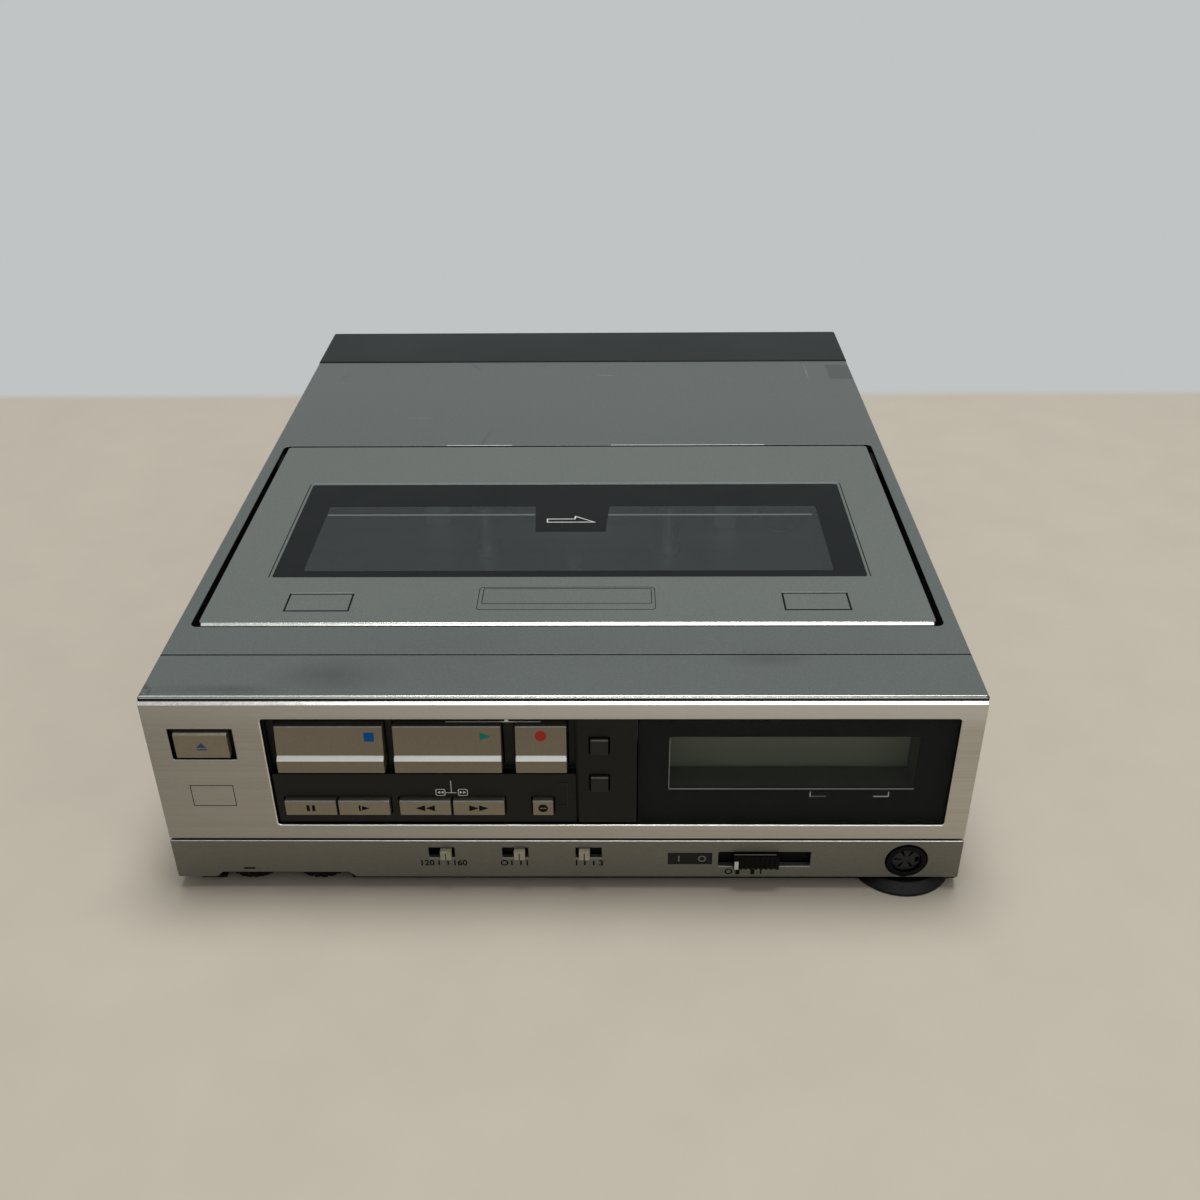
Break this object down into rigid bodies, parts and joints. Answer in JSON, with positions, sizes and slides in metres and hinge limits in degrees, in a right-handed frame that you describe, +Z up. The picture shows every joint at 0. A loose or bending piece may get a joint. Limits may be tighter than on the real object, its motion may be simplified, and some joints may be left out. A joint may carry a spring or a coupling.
{
  "type": "portable video cassette recorder",
  "caption": "Low portable video cassette recorder with a top lid that lifts the cassette holder, front push keys, display lens, slide switches, tape deck inside and a rear battery bay.",
  "frame": {"origin": "on the floor under the feet, in the middle of the outline seen from above", "axes": "+X to the right, +Y from the front panel to the back, +Z up"},
  "size_m": [0.215, 0.2702, 0.0644],
  "materials": {
    "cabinet_paint": "satin metallic grey",
    "aluminium": "brushed, pale champagne",
    "lower_paint": "satin metallic grey-beige",
    "gloss_black": "gloss",
    "matt_black": "fine grain",
    "rubber": "matt",
    "key_paint": "satin metallic taupe",
    "dark_key": "satin",
    "knob": "satin",
    "smoked_lens": "smoked gloss",
    "display_glass": "grey-green",
    "steel": "plated sheet",
    "cast_metal": "as cast",
    "machined": "machined",
    "white_plastic": "satin",
    "board": "solder mask",
    "battery_case": "satin"
  },
  "bodies": {
    "cabinet": {"bottom_tray": "matt_black", "foot_front_left": "rubber", "foot_front_right": "rubber", "foot_rear_left": "rubber", "foot_rear_right": "rubber", "front_cover_band": "cabinet_paint", "top_cover": "cabinet_paint", "front_panel": "aluminium", "lower_front_panel": "lower_paint", "key_bezel": "matt_black", "key_board": "board", "display_lens": "smoked_lens", "display_frame": "matt_black", "display_glass": "display_glass", "switch_board": "board", "remote_socket": "matt_black", "rear_housing": "gloss_black", "battery_pack": "battery_case", "camera_socket": "matt_black", "lid_hinge_shaft": "steel", "deck_frame": "steel", "reel_motor": "steel", "lower_drum": "machined", "capstan_motor": "cast_metal", "erase_head": "machined", "audio_head": "machined", "loading_motor": "steel", "main_board": "board"},
    "lid_and_holder": {"lid": "cabinet_paint", "lid_window": "smoked_lens", "cassette_holder": "steel"},
    "lid_latch": {"lid_latch": "matt_black"},
    "stop_key": {"stop_key": "key_paint"},
    "play_key": {"play_key": "key_paint"},
    "record_key": {"record_key": "key_paint"},
    "pause_key": {"pause_key": "key_paint"},
    "slow_key": {"slow_key": "key_paint"},
    "rewind_key": {"rewind_key": "key_paint"},
    "fast_forward_key": {"fast_forward_key": "key_paint"},
    "insert_key": {"insert_key": "key_paint"},
    "reset_key": {"reset_key": "dark_key"},
    "memory_key": {"memory_key": "dark_key"},
    "eject_key": {"eject_key": "key_paint"},
    "function_slider_1": {"function_slider_1": "knob"},
    "function_slider_2": {"function_slider_2": "knob"},
    "function_slider_3": {"function_slider_3": "knob"},
    "power_slider": {"power_slider": "dark_key"},
    "tracking_wheel": {"tracking_wheel": "matt_black"},
    "slow_tracking_wheel": {"slow_tracking_wheel": "matt_black"},
    "battery_door": {"battery_door": "matt_black"},
    "supply_reel": {"supply_reel": "white_plastic"},
    "takeup_reel": {"takeup_reel": "white_plastic"},
    "idler_arm": {"idler_arm": "steel"},
    "idler_wheel": {"idler_wheel": "rubber"},
    "upper_drum": {"upper_drum": "machined"},
    "entry_guide": {"entry_guide": "machined"},
    "exit_guide": {"exit_guide": "machined"},
    "capstan": {"capstan": "machined"},
    "pinch_arm": {"pinch_arm": "steel"},
    "pinch_roller": {"pinch_roller": "rubber"}
  },
  "joints": [
    {"name": "lid_hinge", "type": "hinge", "parent": "cabinet", "child": "lid_and_holder", "pos_m": [0, 0.0123, 0.0611], "axis": [-1, 0, 0], "range_deg": [0, 22]},
    {"name": "eject_press", "type": "slide", "parent": "cabinet", "child": "eject_key", "axis": [0, 1, 0], "range_m": [0, 0.002], "stiffness_N_per_m": 300},
    {"name": "latch_slide", "type": "slide", "parent": "cabinet", "child": "lid_latch", "axis": [0, 1, 0], "range_m": [-0.002, 0]},
    {"name": "stop_press", "type": "slide", "parent": "cabinet", "child": "stop_key", "axis": [0, 1, 0], "range_m": [0, 0.002], "stiffness_N_per_m": 300},
    {"name": "play_press", "type": "slide", "parent": "cabinet", "child": "play_key", "axis": [0, 1, 0], "range_m": [0, 0.002], "stiffness_N_per_m": 300},
    {"name": "record_press", "type": "slide", "parent": "cabinet", "child": "record_key", "axis": [0, 1, 0], "range_m": [0, 0.002], "stiffness_N_per_m": 300},
    {"name": "pause_press", "type": "slide", "parent": "cabinet", "child": "pause_key", "axis": [0, 1, 0], "range_m": [0, 0.0012], "stiffness_N_per_m": 300},
    {"name": "slow_press", "type": "slide", "parent": "cabinet", "child": "slow_key", "axis": [0, 1, 0], "range_m": [0, 0.0012], "stiffness_N_per_m": 300},
    {"name": "rewind_press", "type": "slide", "parent": "cabinet", "child": "rewind_key", "axis": [0, 1, 0], "range_m": [0, 0.0012], "stiffness_N_per_m": 300},
    {"name": "fast_forward_press", "type": "slide", "parent": "cabinet", "child": "fast_forward_key", "axis": [0, 1, 0], "range_m": [0, 0.0012], "stiffness_N_per_m": 300},
    {"name": "insert_press", "type": "slide", "parent": "cabinet", "child": "insert_key", "axis": [0, 1, 0], "range_m": [0, 0.0012], "stiffness_N_per_m": 300},
    {"name": "reset_press", "type": "slide", "parent": "cabinet", "child": "reset_key", "axis": [0, 1, 0], "range_m": [0, 0.0012], "stiffness_N_per_m": 300},
    {"name": "memory_press", "type": "slide", "parent": "cabinet", "child": "memory_key", "axis": [0, 1, 0], "range_m": [0, 0.0012], "stiffness_N_per_m": 300},
    {"name": "function_1_slide", "type": "slide", "parent": "cabinet", "child": "function_slider_1", "axis": [1, 0, 0], "range_m": [-0.0024, 0]},
    {"name": "function_2_slide", "type": "slide", "parent": "cabinet", "child": "function_slider_2", "axis": [1, 0, 0], "range_m": [-0.0024, 0]},
    {"name": "function_3_slide", "type": "slide", "parent": "cabinet", "child": "function_slider_3", "axis": [1, 0, 0], "range_m": [0, 0.0024]},
    {"name": "power_slide", "type": "slide", "parent": "cabinet", "child": "power_slider", "axis": [1, 0, 0], "range_m": [0, 0.0042]},
    {"name": "tracking_turn", "type": "hinge", "parent": "cabinet", "child": "tracking_wheel", "pos_m": [-0.087, -0.1223, 0.0036], "axis": [0, 0, 1], "range_deg": [-135, 135]},
    {"name": "slow_tracking_turn", "type": "hinge", "parent": "cabinet", "child": "slow_tracking_wheel", "pos_m": [-0.068, -0.1223, 0.0036], "axis": [0, 0, 1], "range_deg": [-135, 135]},
    {"name": "battery_door_hinge", "type": "hinge", "parent": "cabinet", "child": "battery_door", "pos_m": [0.1067, 0.11825, 0.0071], "axis": [0, 1, 0], "range_deg": [0, 90]},
    {"name": "supply_spin", "type": "hinge", "parent": "cabinet", "child": "supply_reel", "pos_m": [-0.046, -0.0407, 0.0289], "axis": [0, 0, 1], "continuous": true},
    {"name": "takeup_spin", "type": "hinge", "parent": "cabinet", "child": "takeup_reel", "pos_m": [0.046, -0.0407, 0.0289], "axis": [0, 0, 1], "continuous": true},
    {"name": "idler_swing", "type": "hinge", "parent": "cabinet", "child": "idler_arm", "pos_m": [0, -0.0697, 0.0289], "axis": [0, 0, 1], "range_deg": [-17, 17]},
    {"name": "idler_spin", "type": "hinge", "parent": "idler_arm", "child": "idler_wheel", "pos_m": [0, -0.0457, 0.0302], "axis": [0, 0, 1], "continuous": true},
    {"name": "drum_spin", "type": "hinge", "parent": "cabinet", "child": "upper_drum", "pos_m": [0, 0.0593, 0.0289], "axis": [0, 0.104, 0.9946], "continuous": true},
    {"name": "entry_guide_slide", "type": "slide", "parent": "cabinet", "child": "entry_guide", "axis": [-0.1888, 0.982, 0], "range_m": [0, 0.05295]},
    {"name": "exit_guide_slide", "type": "slide", "parent": "cabinet", "child": "exit_guide", "axis": [0.1888, 0.982, 0], "range_m": [0, 0.05295]},
    {"name": "capstan_spin", "type": "hinge", "parent": "cabinet", "child": "capstan", "pos_m": [0.066, 0.0333, 0.0289], "axis": [0, 0, 1], "continuous": true},
    {"name": "pinch_swing", "type": "hinge", "parent": "cabinet", "child": "pinch_arm", "pos_m": [0.088, 0.0403, 0.0289], "axis": [0, 0, -1], "range_deg": [0, 14], "stiffness_Nm_per_rad": 0.02},
    {"name": "pinch_roller_spin", "type": "hinge", "parent": "pinch_arm", "child": "pinch_roller", "pos_m": [0.07376, 0.02258, 0.0312], "axis": [0, 0, 1], "continuous": true}
  ],
  "couplings": [
    {"joint": "latch_slide", "follows": "eject_press", "ratio": -1},
    {"joint": "exit_guide_slide", "follows": "entry_guide_slide", "ratio": 1}
  ]
}
